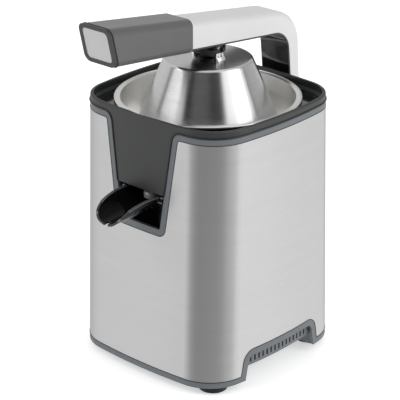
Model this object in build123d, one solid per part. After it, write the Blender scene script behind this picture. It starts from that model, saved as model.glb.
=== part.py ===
from build123d import *
from math import acos, cos, degrees, hypot, pi, radians, sin, tan
import os

# Electric lever-arm citrus press. Millimetres, +Z up, front of the machine towards -Y.
# Every piece is modelled about the axis of the drive shaft, with the feet standing on z = 0.
# write_all() then moves the whole machine so that its origin is under the middle of its bounding box.

# ---- Body outline: a square with bowed sides and round corners, tapering from base to top ----
FOOT_H = 7.0
BODY_TOP = 248.2
LOW_HALF_X, LOW_HALF_Y = 92.4, 93.2
TOP_HALF_X, TOP_HALF_Y = 90.0, 86.4
CORNER_R = 38.5
BOW_FRONT_R, BOW_SIDE_R = 560.0, 420.0

# ---- Heights of the seams round the body ----
STEEL_LOW = 12.6
STEEL_TOP = 235.7
TRIM_W = 6.2
SEAM = 0.15
STEEL_T = 0.8
TRIM_T = 3.0
COLLAR_EDGE_R = 1.2
BIG = 300.0

# ---- Front opening ----
U_BOTTOM = 142.0
U_HALF_LOW, U_HALF_TOP = 29.0, 42.6
U_CORNER_R, U_NOTCH_R = 8.0, 3.0
PANEL_LOW = 181.0

# ---- Side arches and base ----
ARCH_TOP = 36.2
ARCH_HALF = 53.0
ARCH_LEAN = 0.2
ARCH_R = 13.0
FLOOR_LOW, FLOOR_TOP = 18.0, 20.5
LIP_TOP = 39.0
VENT_INSET, VENT_T = 4.5, 2.0
VENT_SLOT_W, VENT_SLOT_PITCH, VENT_SLOT_COUNT = 2.0, 5.3, 15
VENT_SLOT_LOW, VENT_SLOT_HIGH = 20.9, 26.5
LEG_X, LEG_Y, LEG_FLOOR, LEG_WALL = 42.0, 47.0, 9.5, 2.5
FOOT_X, FOOT_Y, FOOT_R = 67.5, 67.0, 13.5
SCREW_R, TIE_TOP = 1.7, 52.0
PLATE_X, PLATE_Y = 30.0, 28.0
INLET_X, INLET_Z, INLET_R, INLET_BORE = 45.0, 28.0, 6.0, 3.6
INLET_DEPTH, INLET_LIP, INLET_LIP_T = 9.0, 2.5, 2.0
TERMINAL_X, TERMINAL_Y, TERMINAL_W, TERMINAL_D, TERMINAL_H, TERMINAL_WAYS = 50.0, 14.0, 24.0, 14.0, 14.0, 3
PLUG_R, PLUG_TOP, BOSS_R = 7.0, 13.0, 10.0

# ---- Fits ----
FIXED_FIT = 0.02
RUN_FIT = 0.05
CLEAR = 0.3

# ---- Bowl, collector, deck ----
FLANGE_R, FLANGE_TOP, BOWL_T = 84.0, 244.6, 0.9
BOWL_R = 78.8
BOWL_BEND_R = 33.0
BOWL_BEND_Z = 230.0
BOWL_HOLE_R = 38.0
COLLECTOR_T = 1.2
COLLECTOR_LOW = 187.0
COLLECTOR_SLOPE = 1.2
NOZZLE_Y, NOZZLE_R, NOZZLE_BORE, NOZZLE_LOW = -74.0, 6.0, 4.6, 168.5
HUB_R, HUB_WALL, HUB_TOP = 9.05, 2.5, 201.0
DECK_T = 2.5
PILLAR_R = 5.0
STRAINER_R, STRAINER_T, STRAINER_TUBE_TOP = 43.0, 0.9, 203.0
STRAINER_SLOTS = 24

# ---- Drive ----
SHAFT_R = 5.0
PRESS_TRAVEL = 2.5
PITCH_1, PINION_TEETH, WHEEL_TEETH = 1.0, 12, 48
PITCH_2, SMALL_TEETH, OUTPUT_TEETH = 1.25, 14, 56
PRESSURE_ANGLE, ADDENDUM, DEDENDUM, BACKLASH = 25.0, 0.8, 1.05, 0.15
BOX_LOW, BOX_T, BOX_TOP = 132.0, 3.0, 164.0
BOX_HALF_X, BOX_FRONT, BOX_REAR, BOX_R = 43.0, -42.0, 74.0, 8.0
BOX_WALL = 2.5
LEG_POST_X, LEG_POST_R = 37.0, 4.0
WHEEL_LOW, WHEEL_HIGH = 139.0, 147.0
OUTPUT_LOW, OUTPUT_HIGH = 152.5, 162.5
COVER_T = 3.0
RING_LOW, RING_T = 178.0, 2.4
MOTOR_R, MOTOR_LOW, MOTOR_T = 32.0, 46.0, 1.5
MOTOR_SHAFT_R, BEARING_R, ROTOR_R = 3.0, 8.0, 18.0
FLANK_STEPS = 4
SHAFT_BUSH_R, AXLE_R, MOTOR_SCREW_X = 8.0, 3.0, 22.0
SWITCH_X, BUTTON_R = 26.0, 1.5
SPRING_WIRE, SPRING_R, SPRING_TURNS = 0.6, 9.2, 3
IDLER_Y = PITCH_2 * (SMALL_TEETH + OUTPUT_TEETH) / 2
MOTOR_Y = IDLER_Y - PITCH_1 * (PINION_TEETH + WHEEL_TEETH) / 2

# ---- Reamer and dome ----
CONE_LOW, CONE_R, CONE_TIP = 206.0, 35.0, 261.0
CONE_RIBS, RIB_PROUD, RIB_T = 10, 2.2, 2.6
SQUARE = 7.0
DOME_TOP, DOME_TOP_R, DOME_LOW, DOME_LOW_R = 280.5, 39.6, 226.5, 61.3
DOME_SKIRT_Z, DOME_SHOULDER_R, DOME_T = 232.0, 3.0, 1.0
DOME_PIN_Z, DOME_PIN_R = 290.0, 2.5
DOME_POST_R, DOME_CAP_R, DOME_CAP_LOW, DOME_CAP_TOP = 8.0, 15.5, 287.4, 291.0

# ---- Arm ----
ARM_HALF = 16.8
ARM_TOP_Z, ARM_TOP_SLOPE = 318.9, 0.143
ARM_UNDER_Z, ARM_UNDER_SLOPE = 294.8, 0.101
PIVOT_Y, PIVOT_Z = 104.0, 214.0
POST_REAR_Y, POST_REAR_LEAN = 111.8, 0.068
POST_FRONT_Y, POST_FRONT_LEAN = 96.6, 0.106
BEND_OUT_R, BEND_IN_R = 38.0, 20.0
ARM_EDGE_R, ARM_WALL = 5.0, 2.0
LINER_RECESS, LINER_T, LINER_CAP_T = 1.2, 2.0, 1.5
CORE_HALF, CORE_FRONT_Y = 5.0, -118.0
LUG_HALF, LUG_R = 5.0, 4.5
KNUCKLE_R, KNUCKLE_GAP = 8.6, 0.5
SLEEVE_REAR_Y, SLEEVE_PROUD, SLEEVE_SIDE = -39.5, 2.3, 1.5
SLEEVE_FRONT_TOP_Y, SLEEVE_UNDERCUT = -140.0, 0.24
SLEEVE_T, SLEEVE_EDGE_R = 2.5, 6.5
END_T, END_RIM, INSERT_RECESS, INSERT_EDGE_R = 3.5, 3.6, 0.5, 4.0
INSERT_T, PLUG_GAP = 2.4, 12.0
PIN_R, BUSH_R = 4.0, 6.0

# ---- Spout ----
SPOUT_R, SPOUT_TAPER, SPOUT_T, SPOUT_DEPTH, SPOUT_SLOPE = 22.0, 0.092, 2.0, 16.5, 8.0
SPOUT_RIM_Z, SPOUT_REAR_Y, SPOUT_TIP_Y = 177.5, -64.0, -131.0
SPOUT_PIVOT_Y, SPOUT_PIVOT_Z, SPOUT_PIN_R = -81.5, 174.0, 2.5
SPOUT_BOSS_R, SPOUT_BOSS_W, SPOUT_NOTCH, PIN_BEYOND = 5.0, 2.5, 2.2, 0.8
SPOUT_TIP_Z, SPOUT_LIP = 161.5, 33.0
NICHE_REAR_Y, NICHE_TOP, NICHE_T = -60.0, 183.2, 2.0

# ---- Rear hinge bracket ----
BRACKET_HALF, BRACKET_LOW, BRACKET_TOP, BRACKET_REAR = 26.0, 192.0, 226.0, 120.0
BRACKET_WEB_Y, BRACKET_FLOOR = 92.0, 4.0
REAR_STOP_Y, REAR_STOP_TOP = 113.4, 207.4
PLATE_T = 3.0

BEYOND = 20.0
LOFTS = {}
NODES = {}


# ---- Helpers ----
def block(x0, x1, y0, y1, z0, z1):
    return Pos((x0 + x1) / 2, (y0 + y1) / 2, (z0 + z1) / 2) * Box(x1 - x0, y1 - y0, z1 - z0)


def post(x, y, radius, z0, z1):
    return Pos(x, y, (z0 + z1) / 2) * Cylinder(radius, z1 - z0)


def tube(x, y, outer, inner, z0, z1):
    return post(x, y, outer, z0, z1) - post(x, y, inner, z0 - 1, z1 + 1)


def rod_x(x0, x1, y, z, radius):
    return Pos((x0 + x1) / 2, y, z) * Rot(0, 90, 0) * Cylinder(radius, x1 - x0)


def prism_x(outline, x0, x1):
    return Pos(x0, 0, 0) * extrude(Plane.YZ * outline, amount=x1 - x0)


def prism_y(outline, y0, y1):
    return Pos(0, y1, 0) * extrude(Plane.XZ * outline, amount=y1 - y0)


def turned(outline):
    return revolve(Plane.XZ * outline, Axis.Z)


def four_corners(x, y):
    return [(x, -y), (-x, -y), (x, y), (-x, y)]


def group(pieces):
    return Compound([piece.solid() for piece in pieces])


def half_y_at(z, inset):
    rise = (z - FOOT_H) / (BODY_TOP - FOOT_H)
    return LOW_HALF_Y + rise * (TOP_HALF_Y - LOW_HALF_Y) - inset


def section(z, inset):
    rise = (z - FOOT_H) / (BODY_TOP - FOOT_H)
    half_x = LOW_HALF_X + rise * (TOP_HALF_X - LOW_HALF_X) - inset
    half_y = half_y_at(z, inset)
    front, side = BOW_FRONT_R - inset, BOW_SIDE_R - inset
    shape = Pos(0, front - half_y) * Circle(front)
    shape &= Pos(0, half_y - front) * Circle(front)
    shape &= Pos(half_x - side, 0) * Circle(side)
    shape &= Pos(side - half_x, 0) * Circle(side)
    return Pos(0, 0, z) * fillet(shape.vertices(), CORNER_R - inset)


def taper(inset, low, high):
    """The body's outline pulled in by inset, between two heights, always cut from one tall loft."""
    if inset not in LOFTS:
        LOFTS[inset] = loft([section(-BEYOND, inset), section(BODY_TOP + BEYOND, inset)], ruled=True)
    return LOFTS[inset] & block(-BIG, BIG, -BIG, BIG, low, high)


def skin(inset, thickness, low, high):
    return taper(inset, low, high) - taper(inset + thickness, low - 1, high + 1)


def corners_at(outline, test):
    return [v for v in outline.vertices() if test(v.X, v.Y)]


def opening(inset):
    """Outline of the front opening, seen from the front, and of all that lies above the steel."""
    slope = (U_HALF_TOP - U_HALF_LOW) / (STEEL_TOP - U_BOTTOM)
    low, high = U_BOTTOM + inset, STEEL_TOP + inset
    side = inset * hypot(1, slope)
    half_low = U_HALF_LOW + slope * inset - side
    half_high = U_HALF_TOP + slope * inset - side
    points = [(half_low, low), (half_high, high), (BIG, high), (BIG, BIG + high)]
    mirrored = [(-x, z) for x, z in reversed(points)]
    outline = make_face(Polyline(*points, *mirrored, close=True))
    outline = fillet(corners_at(outline, lambda x, z: z < low + 1), U_CORNER_R - inset)
    return fillet(corners_at(outline, lambda x, z: abs(z - high) < 1 and abs(x) < BIG - 1),
                  U_NOTCH_R + inset)


def above_steel(inset):
    """All that lies above the steel's top edge and inside its front opening."""
    return prism_y(opening(inset), -BIG, 0) + block(-BIG, BIG, 0, BIG, STEEL_TOP + inset, BIG)


def arch(inset):
    """Outline of a side arch, seen from the side."""
    side = inset * hypot(1, ARCH_LEAN)
    top = ARCH_TOP - inset
    half_low = ARCH_HALF - side + ARCH_LEAN * STEEL_LOW
    half_top = ARCH_HALF - side - ARCH_LEAN * (top - STEEL_LOW)
    points = [(-half_low, 0), (half_low, 0), (half_top, top), (-half_top, top)]
    outline = make_face(Polyline(*points, close=True))
    return fillet(corners_at(outline, lambda y, z: z > top - 1), ARCH_R - inset)


def arches(inset):
    return prism_x(arch(inset), -BIG, BIG)


# ---- Casing ----
def make_casing():
    recess = post(0, 0, FLANGE_R + 0.6, STEEL_TOP + 1.5, BIG)
    steel = skin(0, STEEL_T, STEEL_LOW, STEEL_TOP) - above_steel(0) - arches(0)
    for x, z in bracket_screw_places():
        steel -= Pos(x, half_y_at(z, 0), z) * Rot(90, 0, 0) * Cylinder(SCREW_R + CLEAR, 12)
    steel -= Pos(INLET_X, half_y_at(INLET_Z, 0), INLET_Z) * Rot(90, 0, 0) * Cylinder(INLET_R + CLEAR, 12)
    NODES["steel_shell"] = steel

    trim_top = STEEL_TOP + TRIM_W
    trim = skin(0, TRIM_T, U_BOTTOM - 2, trim_top) & above_steel(SEAM)
    NODES["upper_trim"] = trim - above_steel(TRIM_W) - recess

    outer = taper(0, PANEL_LOW, BODY_TOP)
    outer = fillet(outer.edges().group_by(Axis.Z)[-1], COLLAR_EDGE_R)
    collar = outer - taper(TRIM_T, PANEL_LOW - 1, BODY_TOP + 1)
    collar &= above_steel(TRIM_W + SEAM)
    groove = skin(1.0, 0.5, BODY_TOP - 0.7, BODY_TOP + 1)
    NODES["top_collar"] = collar - recess - groove

    deck_low = STEEL_TOP
    deck_top = deck_low + DECK_T
    ring_top = FLANGE_TOP - BOWL_T - COLLECTOR_T - 1.0
    deck = taper(TRIM_T + CLEAR, deck_low, deck_top)
    deck += post(0, 0, FLANGE_R + 0.3, deck_top, ring_top)
    deck -= post(0, 0, BOWL_R + BOWL_T + COLLECTOR_T + 0.8, deck_low - 1, ring_top + 1)
    for x, y in four_corners(FOOT_X, FOOT_Y):
        deck += post(x, y, PILLAR_R, FLOOR_TOP, deck_low)
        deck -= post(x, y, SCREW_R + FIXED_FIT, FLOOR_TOP - 1, TIE_TOP + 1)
    NODES["inner_deck"] = deck


def bracket_screw_places():
    return [(x, z) for x in (-21.5, 21.5) for z in (198.0, 220.0)]


# ---- Base ----
def make_base():
    base = taper(0, FOOT_H, STEEL_LOW - SEAM) + taper(STEEL_T + SEAM, STEEL_LOW - SEAM, LIP_TOP)
    base -= taper(TRIM_T, FLOOR_TOP, LIP_TOP + 1)
    border = skin(0, TRIM_T, STEEL_LOW - 2, ARCH_TOP) & arches(SEAM)
    base += border
    base -= arches(TRIM_W) - taper(VENT_INSET, 0, LIP_TOP)
    base -= block(-LEG_X, LEG_X, -BIG, BIG, 0, FLOOR_LOW) & taper(TRIM_T, 0, LIP_TOP)
    base -= block(-BIG, BIG, -LEG_Y, LEG_Y, 0, FLOOR_LOW) & taper(TRIM_T, 0, LIP_TOP)
    inside = taper(TRIM_T, LEG_FLOOR, FLOOR_TOP + 1)
    for sx in (-1, 1):
        for sy in (-1, 1):
            x0, x1 = sorted((sx * (LEG_X + LEG_WALL), sx * BIG))
            y0, y1 = sorted((sy * (LEG_Y + LEG_WALL), sy * BIG))
            base -= inside & block(x0, x1, y0, y1, 0, BIG)
    for x, y in four_corners(FOOT_X, FOOT_Y):
        base += post(x, y, BOSS_R, FOOT_H, FLOOR_TOP)
        base -= post(x, y, PLUG_R + FIXED_FIT, 0, PLUG_TOP + 0.2)
        base -= post(x, y, 2 * SCREW_R + 0.6, PLUG_TOP, PLUG_TOP + 3)
        base -= post(x, y, SCREW_R + 0.2, 0, BIG)
    vents = skin(VENT_INSET, VENT_T, FLOOR_LOW, ARCH_TOP - 1)
    vents &= block(-BIG, BIG, -LEG_Y - 4, LEG_Y + 4, 0, BIG)
    vents -= block(-LEG_X, LEG_X, -BIG, BIG, 0, BIG)
    for i in range(VENT_SLOT_COUNT):
        y = (i - (VENT_SLOT_COUNT - 1) / 2) * VENT_SLOT_PITCH
        vents -= block(-BIG, BIG, y - VENT_SLOT_W / 2, y + VENT_SLOT_W / 2, VENT_SLOT_LOW, VENT_SLOT_HIGH)
    base += vents
    base -= block(-PLATE_X + 5, PLATE_X - 5, -PLATE_Y + 5, PLATE_Y - 5, 0, BIG)
    for x, y in plate_screw_places():
        base -= post(x, y, SCREW_R + FIXED_FIT, 0, BIG)
    for x, y in leg_places():
        base -= post(x, y, SCREW_R + 0.2, 0, BIG)
    base -= Pos(INLET_X, half_y_at(INLET_Z, 0), INLET_Z) * Rot(90, 0, 0) * Cylinder(INLET_R + CLEAR, 12)
    NODES["base_frame"] = base

    plate = block(-PLATE_X, PLATE_X, -PLATE_Y, PLATE_Y, FLOOR_LOW - 2.4, FLOOR_LOW - 0.1)
    plate = fillet(plate.edges().filter_by(Axis.Z), 5)
    for i in range(-4, 5):
        plate -= block(-24, 24, i * 6 - 1.2, i * 6 + 1.2, 0, BIG)
    screws = []
    for x, y in plate_screw_places():
        plate -= post(x, y, SCREW_R + 0.2, 0, BIG)
        head = post(x, y, 2 * SCREW_R, FLOOR_LOW - 4, FLOOR_LOW - 2.4)
        screws.append(head + post(x, y, SCREW_R, FLOOR_LOW - 2.4, FLOOR_TOP))
    NODES["bottom_plate"] = plate
    NODES["bottom_plate_screws"] = group(screws)

    names = ("foot_front_right", "foot_front_left", "foot_rear_right", "foot_rear_left")
    ties = []
    for name, (x, y) in zip(names, four_corners(FOOT_X, FOOT_Y)):
        foot = post(x, y, FOOT_R, 0, FOOT_H)
        foot = fillet(foot.edges().group_by(Axis.Z)[0], 2.5)
        NODES[name] = foot + post(x, y, PLUG_R, FOOT_H, PLUG_TOP)
        head = post(x, y, 2 * SCREW_R, PLUG_TOP + 0.4, PLUG_TOP + 3)
        ties.append(head + post(x, y, SCREW_R, PLUG_TOP + 3, TIE_TOP))
    NODES["tie_screws"] = group(ties)

    wall_y = half_y_at(INLET_Z, 0)
    lip_y = wall_y + 0.7 + INLET_LIP_T / 2
    inlet = Pos(INLET_X, wall_y - 2, INLET_Z) * Rot(90, 0, 0) * Cylinder(INLET_R, INLET_DEPTH)
    inlet += Pos(INLET_X, lip_y, INLET_Z) * Rot(90, 0, 0) * Cylinder(INLET_R + INLET_LIP, INLET_LIP_T)
    inlet -= Pos(INLET_X, wall_y, INLET_Z) * Rot(90, 0, 0) * Cylinder(INLET_BORE, BIG)
    NODES["cord_inlet"] = inlet
    terminal = block(TERMINAL_X, TERMINAL_X + TERMINAL_W, TERMINAL_Y, TERMINAL_Y + TERMINAL_D,
                     FLOOR_TOP, FLOOR_TOP + TERMINAL_H)
    for i in range(TERMINAL_WAYS):
        way_x = TERMINAL_X + TERMINAL_W * (i + 0.5) / TERMINAL_WAYS
        terminal -= post(way_x, TERMINAL_Y + TERMINAL_D / 2, 2, FLOOR_TOP + TERMINAL_H / 2, BIG)
    NODES["terminal_block"] = terminal


def plate_screw_places():
    return four_corners(PLATE_X - 2.6 - SCREW_R, PLATE_Y - 2.6 - SCREW_R)


def leg_places():
    return [(x, y) for x in (-LEG_POST_X, LEG_POST_X) for y in (BOX_FRONT + 5, BOX_REAR - 5)]


# ---- Bowl, collector, strainer, niche and spout ----
def make_bowl():
    bend_x = BOWL_R - 1.2 - BOWL_BEND_R
    floor = BOWL_BEND_Z - BOWL_BEND_R

    def side(grow, radius):
        arc = CenterArc((bend_x, BOWL_BEND_Z), radius + grow, 0, -90)
        wall = Line((BOWL_R + grow, FLANGE_TOP - grow), arc @ 0)
        return wall + arc

    inner, outer = side(0, BOWL_BEND_R), side(BOWL_T, BOWL_BEND_R)
    ring = Polyline((BOWL_R, FLANGE_TOP), (FLANGE_R, FLANGE_TOP), (FLANGE_R, FLANGE_TOP - BOWL_T),
                    (BOWL_R + BOWL_T, FLANGE_TOP - BOWL_T))
    low = Polyline((bend_x, floor), (BOWL_HOLE_R, floor), (BOWL_HOLE_R, floor - BOWL_T),
                   (bend_x, floor - BOWL_T))
    NODES["juice_bowl"] = turned(make_face(inner + low + outer + ring))

    low, high = floor + 0.1, floor + 0.1 + STRAINER_T
    strainer = post(0, 0, STRAINER_R, low, high)
    tube_in = HUB_R + HUB_WALL + 1.2
    strainer += post(0, 0, tube_in + 1.2, high, STRAINER_TUBE_TOP)
    strainer -= post(0, 0, tube_in, 0, BIG)
    for i in range(STRAINER_SLOTS):
        slot = block(18, BOWL_HOLE_R - 2, -0.8, 0.8, low - 1, high + 1)
        strainer -= Rot(0, 0, 360 * i / STRAINER_SLOTS) * slot
    NODES["strainer"] = strainer

    wall_out = BOWL_R + BOWL_T + 0.3 + COLLECTOR_T
    top = FLANGE_TOP - BOWL_T - 0.1
    cup = post(0, 0, wall_out, COLLECTOR_LOW, top) + post(0, 0, FLANGE_R, top - COLLECTOR_T, top)
    space = post(0, 0, wall_out - COLLECTOR_T, COLLECTOR_LOW, BIG)
    rise = COLLECTOR_LOW + 3.5
    cut = Pos(0, 0, rise) * Rot(COLLECTOR_SLOPE, 0, 0) * Pos(0, 0, -BIG / 2) * Box(BIG, BIG, BIG)
    cup -= space - cut
    cup += post(0, 0, HUB_R + HUB_WALL, COLLECTOR_LOW, HUB_TOP)
    cup -= post(0, 0, HUB_R, 0, BIG)
    cup += post(0, NOZZLE_Y, NOZZLE_R, NOZZLE_LOW, COLLECTOR_LOW)
    cup -= post(0, NOZZLE_Y, NOZZLE_BORE, 0, COLLECTOR_LOW + 10)
    NODES["juice_collector"] = cup
    seal_low = COLLECTOR_LOW + 1
    NODES["shaft_seal"] = tube(0, 0, HUB_R - FIXED_FIT, SHAFT_R + RUN_FIT, seal_low, seal_low + 5)


def make_spout():
    slope = (U_HALF_TOP - U_HALF_LOW) / (STEEL_TOP - U_BOTTOM)

    def shape(grow):
        low, high = U_BOTTOM + TRIM_W - grow, NICHE_TOP - NICHE_T + grow
        half = U_HALF_LOW - TRIM_W + grow
        rise = slope * (high - low)
        points = [(-half, low), (half, low), (half + rise, high), (-half - rise, high)]
        return make_face(Polyline(*points, close=True))

    niche = prism_y(shape(NICHE_T), -BIG, NICHE_REAR_Y) - prism_y(shape(0), -BIG, NICHE_REAR_Y - NICHE_T)
    niche &= taper(TRIM_T + 0.1, U_BOTTOM, NICHE_TOP + 1)
    niche -= post(0, NOZZLE_Y, NOZZLE_R + CLEAR, SPOUT_RIM_Z, BIG)
    wall = U_HALF_LOW - TRIM_W + slope * (SPOUT_PIVOT_Z - U_BOTTOM - TRIM_W) + NICHE_T
    pins = []
    for side in (-1, 1):
        x0, x1 = sorted((side * SPOUT_R, side * (wall + PIN_BEYOND)))
        niche -= rod_x(x0, x1, SPOUT_PIVOT_Y, SPOUT_PIVOT_Z, SPOUT_PIN_R + FIXED_FIT)
        pins.append(rod_x(x0, x1, SPOUT_PIVOT_Y, SPOUT_PIVOT_Z, SPOUT_PIN_R))
    NODES["spout_niche"] = niche
    NODES["spout_pins"] = group(pins)

    axis_z = SPOUT_RIM_Z + SPOUT_R - SPOUT_DEPTH
    lean = Pos(0, SPOUT_PIVOT_Y, axis_z) * Rot(SPOUT_SLOPE, 0, 0)
    along = Rot(90, 0, 0)
    front, rear = SPOUT_TIP_Y - SPOUT_PIVOT_Y - 20, SPOUT_REAR_Y - SPOUT_PIVOT_Y + 5
    middle, length = (front + rear) / 2, rear - front
    rear_r, front_r = SPOUT_R + SPOUT_TAPER * rear, SPOUT_R + SPOUT_TAPER * front
    outside = lean * Pos(0, middle, 0) * along * Cone(rear_r, front_r, length)
    inside = lean * Pos(0, middle, 0) * along * Cone(rear_r - SPOUT_T, front_r - SPOUT_T, length)
    inside &= block(-BIG, BIG, -BIG, SPOUT_REAR_Y - SPOUT_T, 0, BIG)
    for side in (-1, 1):
        x0, x1 = sorted((side * (SPOUT_R - SPOUT_BOSS_R), side * (SPOUT_R + SPOUT_BOSS_W)))
        outside += rod_x(x0, x1, SPOUT_PIVOT_Y, SPOUT_PIVOT_Z, SPOUT_BOSS_R)
    low = SPOUT_RIM_Z - 2 * SPOUT_R
    rim_end = SPOUT_TIP_Y + SPOUT_LIP
    edge = Line((rim_end - 2, SPOUT_RIM_Z), (SPOUT_REAR_Y, SPOUT_RIM_Z))
    edge += Line((SPOUT_REAR_Y, SPOUT_RIM_Z), (SPOUT_REAR_Y, low))
    edge += Line((SPOUT_REAR_Y, low), (SPOUT_TIP_Y, low))
    edge += Line((SPOUT_TIP_Y, low), (SPOUT_TIP_Y, SPOUT_TIP_Z))
    edge += Spline((SPOUT_TIP_Y, SPOUT_TIP_Z), (rim_end - 2, SPOUT_RIM_Z), tangents=[(0.35, 1), (1, 0.12)])
    keep = prism_x(make_face(edge), -BIG, BIG)
    spout = (outside - inside) & keep
    spout -= block(-SPOUT_NOTCH, SPOUT_NOTCH, SPOUT_TIP_Y - 5, SPOUT_TIP_Y + 5, low, SPOUT_TIP_Z + 3)
    for side in (-1, 1):
        x0, x1 = sorted((side * (SPOUT_R - 0.3), side * BIG))
        spout -= rod_x(x0, x1, SPOUT_PIVOT_Y, SPOUT_PIVOT_Z, SPOUT_PIN_R + RUN_FIT)
    NODES["spout"] = spout


# ---- Gears: involute flanks from a formula ----
def gear(teeth, pitch, low, high, bore, first_tooth_deg, centre):
    pitch_r = pitch * teeth / 2
    base_r = pitch_r * cos(radians(PRESSURE_ANGLE))
    tip_r, root_r = pitch_r + ADDENDUM * pitch, pitch_r - DEDENDUM * pitch

    def involute(radius):
        angle = acos(min(1.0, base_r / radius))
        return tan(angle) - angle

    half = (pi / 2 - BACKLASH) / teeth + involute(pitch_r)
    flank_low = max(base_r, root_r)
    radii = [flank_low + (tip_r - flank_low) * i / FLANK_STEPS for i in range(FLANK_STEPS + 1)]
    flank = [(r, half - involute(r)) for r in radii]
    if root_r < base_r:
        flank.insert(0, (root_r, half))
    points = []
    for i in range(teeth):
        middle = radians(first_tooth_deg) + 2 * pi * i / teeth
        sides = [(r, middle - a) for r, a in flank] + [(r, middle + a) for r, a in reversed(flank)]
        points += [(r * cos(a), r * sin(a)) for r, a in sides]
    solid = extrude(make_face(Polyline(*points, close=True)), amount=high - low)
    solid -= post(0, 0, bore, -1, high - low + 1)
    return Pos(0, centre, low) * solid


# ---- Gearbox, drive shaft, press switch ----
def box_outline(inset):
    width = 2 * (BOX_HALF_X - inset)
    depth = BOX_REAR - BOX_FRONT - 2 * inset
    return Pos(0, (BOX_REAR + BOX_FRONT) / 2) * RectangleRounded(width, depth, BOX_R - inset)


def make_gearbox():
    base = Pos(0, 0, BOX_LOW) * extrude(box_outline(0), amount=BOX_TOP - BOX_LOW)
    base -= Pos(0, 0, BOX_LOW + BOX_T) * extrude(box_outline(BOX_WALL), amount=BOX_TOP)
    cover = Pos(0, 0, BOX_TOP + 0.1) * extrude(box_outline(0), amount=COVER_T)
    cover_top = BOX_TOP + 0.1 + COVER_T
    for x, y in leg_places():
        base += post(x, y, LEG_POST_R, FLOOR_TOP, BOX_TOP)
        base -= post(x, y, SCREW_R + FIXED_FIT, FLOOR_TOP - 1, FLOOR_TOP + 14)
        base -= post(x, y, SCREW_R + FIXED_FIT, BOX_TOP - 12, BOX_TOP + 1)
        cover -= post(x, y, SCREW_R + 0.2, 0, BIG)
    base -= post(0, 0, SHAFT_BUSH_R + FIXED_FIT, 0, BIG)
    base -= post(0, MOTOR_Y, MOTOR_SHAFT_R + 1.2, 0, BIG)
    base -= post(0, IDLER_Y, AXLE_R + FIXED_FIT, BOX_LOW + 1, BIG)
    cover -= post(0, 0, SHAFT_BUSH_R + FIXED_FIT, 0, BIG)
    cover -= post(0, IDLER_Y, AXLE_R + FIXED_FIT, 0, cover_top - 1)
    for x in (-MOTOR_SCREW_X, MOTOR_SCREW_X):
        base -= post(x, MOTOR_Y, SCREW_R + 0.2, 0, BIG)
    NODES["gearbox_base"] = base
    NODES["gearbox_cover"] = cover
    screws = []
    legs = []
    for x, y in leg_places():
        screws.append(post(x, y, SCREW_R, BOX_TOP - 11, cover_top)
                      + post(x, y, 2 * SCREW_R, cover_top, cover_top + 1.6))
        legs.append(post(x, y, SCREW_R, FLOOR_LOW, FLOOR_TOP + 13)
                    + post(x, y, 2 * SCREW_R, FLOOR_LOW - 1.8, FLOOR_LOW))
    NODES["cover_screws"] = group(screws)
    NODES["leg_screws"] = group(legs)
    bushes = [tube(0, 0, SHAFT_BUSH_R, SHAFT_R + RUN_FIT, BOX_LOW, BOX_LOW + 6),
              tube(0, 0, SHAFT_BUSH_R, SHAFT_R + RUN_FIT, BOX_TOP - 0.9, cover_top)]
    NODES["shaft_bushes"] = group(bushes)

    wheel = gear(WHEEL_TEETH, PITCH_1, WHEEL_LOW, WHEEL_HIGH, AXLE_R + RUN_FIT,
                 270 + 180 / WHEEL_TEETH, IDLER_Y)
    small = gear(SMALL_TEETH, PITCH_2, WHEEL_HIGH, BOX_TOP - 0.4, AXLE_R + RUN_FIT, 270, IDLER_Y)
    NODES["idler_gear"] = wheel + small
    NODES["idler_axle"] = post(0, IDLER_Y, AXLE_R, BOX_LOW + 1.1, cover_top - 1.1)
    NODES["output_gear"] = gear(OUTPUT_TEETH, PITCH_2, OUTPUT_LOW, OUTPUT_HIGH, SHAFT_R + FIXED_FIT,
                                90 + 180 / OUTPUT_TEETH, 0)
    NODES["motor_pinion"] = gear(PINION_TEETH, PITCH_1, WHEEL_LOW - 1, WHEEL_HIGH + 1,
                                 MOTOR_SHAFT_R + FIXED_FIT, 90, MOTOR_Y)

    shoulder_low = RING_LOW + RING_T + 0.1
    shaft = post(0, 0, SHAFT_R, BOX_LOW + 4, STRAINER_TUBE_TOP)
    shaft += post(0, 0, 8, shoulder_low, shoulder_low + 2.5)
    shaft += block(-SQUARE / 2, SQUARE / 2, -SQUARE / 2, SQUARE / 2, STRAINER_TUBE_TOP, CONE_LOW + 34)
    NODES["drive_shaft"] = shaft
    ring = post(0, 0, 12, RING_LOW, RING_LOW + RING_T)
    ring += block(6, SWITCH_X + 3, -3, 3, RING_LOW, RING_LOW + RING_T)
    NODES["press_ring"] = ring - post(0, 0, SHAFT_R + RUN_FIT, 0, BIG)
    spring_low, spring_high = cover_top + SPRING_WIRE, RING_LOW - SPRING_WIRE
    coil = Helix((spring_high - spring_low - 0.1) / SPRING_TURNS, spring_high - spring_low - 0.1, SPRING_R)
    wire = sweep(Plane(origin=coil @ 0, z_dir=coil % 0) * Circle(SPRING_WIRE), path=coil)
    NODES["press_spring"] = Pos(0, 0, spring_low + 0.05) * wire

    body = block(SWITCH_X - 9, SWITCH_X + 9, -5, 5, cover_top, RING_LOW - 3)
    hole = post(SWITCH_X, 0, BUTTON_R + RUN_FIT, cover_top + 1.0, BIG)
    NODES["switch_body"] = body - hole
    NODES["switch_button"] = post(SWITCH_X, 0, BUTTON_R, cover_top + 1.2 + PRESS_TRAVEL, RING_LOW - RUN_FIT)


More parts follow.
